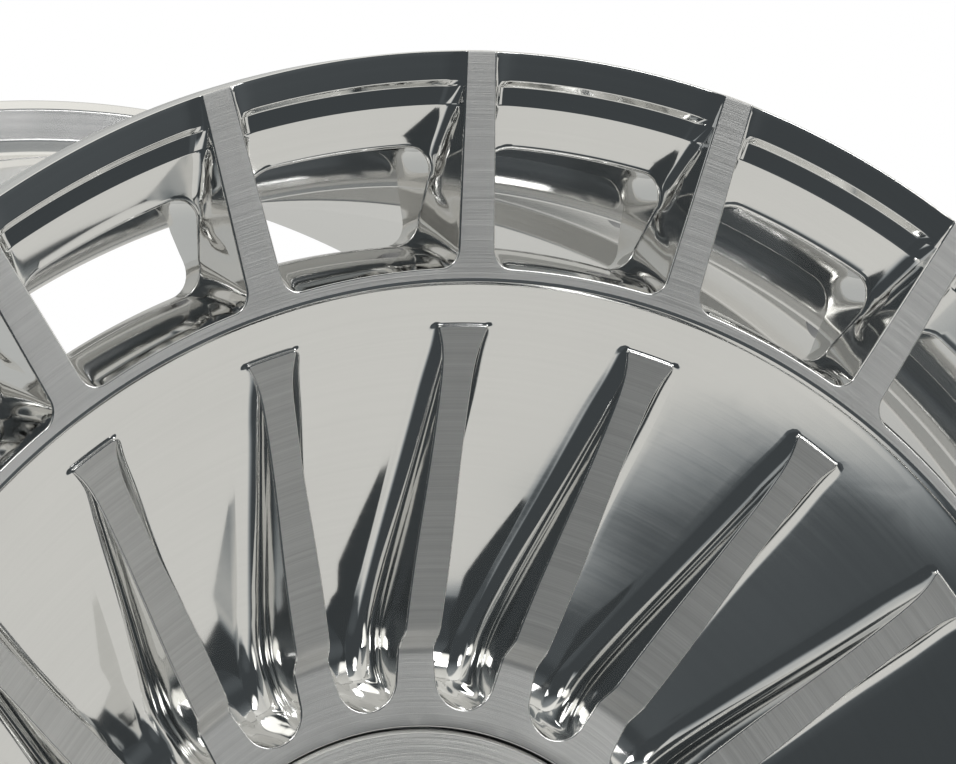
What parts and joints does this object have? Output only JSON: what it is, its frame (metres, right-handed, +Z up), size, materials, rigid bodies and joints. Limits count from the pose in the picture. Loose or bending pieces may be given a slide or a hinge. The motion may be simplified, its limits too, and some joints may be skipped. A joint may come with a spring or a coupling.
{
  "type": "forged racing wheel rim",
  "caption": "Two-piece forged wheel rim with a ribbed full face, through windows, finned dish, flush centre cap, bolted inner barrel and a tyre valve.",
  "frame": {"origin": "centre of the rim's width on the hub bore's axis", "axes": "+Y along the wheel's spin axis towards the vehicle, so the face looks along -Y; +Z up; one rib is at the top and the valve is at the bottom"},
  "size_m": [0.497, 0.2639, 0.497],
  "materials": {
    "face_polished": "mirror polished floors, brushed turned faces",
    "barrel_polished": "polished, with fine turning lines",
    "cap_brushed": "circular brushed",
    "bolt_steel": "satin",
    "insert_steel": "satin",
    "valve_metal": "satin",
    "valve_brass": "machined",
    "gasket_plastic": "matte",
    "seal_rubber": "matte"
  },
  "bodies": {
    "wheel": {"forged_face": "face_polished", "inner_barrel": "barrel_polished", "barrel_bolts": "bolt_steel", "barrel_bolt_washers": "bolt_steel", "thread_inserts": "insert_steel", "barrel_seal": "seal_rubber", "lug_seat_inserts": "insert_steel", "valve_stem": "valve_metal", "valve_grommet": "seal_rubber", "valve_washer": "valve_metal", "valve_nut": "valve_metal", "valve_core_body": "valve_brass", "valve_core_gasket": "gasket_plastic", "valve_core_spring": "insert_steel"},
    "cap": {"centre_cap": "cap_brushed", "cap_seal_ring": "seal_rubber", "cap_spring_ring": "insert_steel"},
    "valve_cap": {"valve_cap": "valve_metal", "valve_cap_seal": "seal_rubber"},
    "valve_pin": {"valve_core_pin": "valve_brass", "valve_core_cup": "seal_rubber"}
  },
  "joints": [
    {"name": "cap_pull", "type": "slide", "parent": "wheel", "child": "cap", "axis": [0, -1, 0], "range_m": [0, 0.06]},
    {"name": "valve_cap_off", "type": "slide", "parent": "wheel", "child": "valve_cap", "axis": [0, 0, 1], "range_m": [0, 0.025]},
    {"name": "valve_pin_press", "type": "slide", "parent": "wheel", "child": "valve_pin", "axis": [0, 0, -1], "range_m": [0, 0.0012], "stiffness_N_per_m": 1500, "springref_m": -0.002, "deforming": ["valve_core_spring"]}
  ]
}
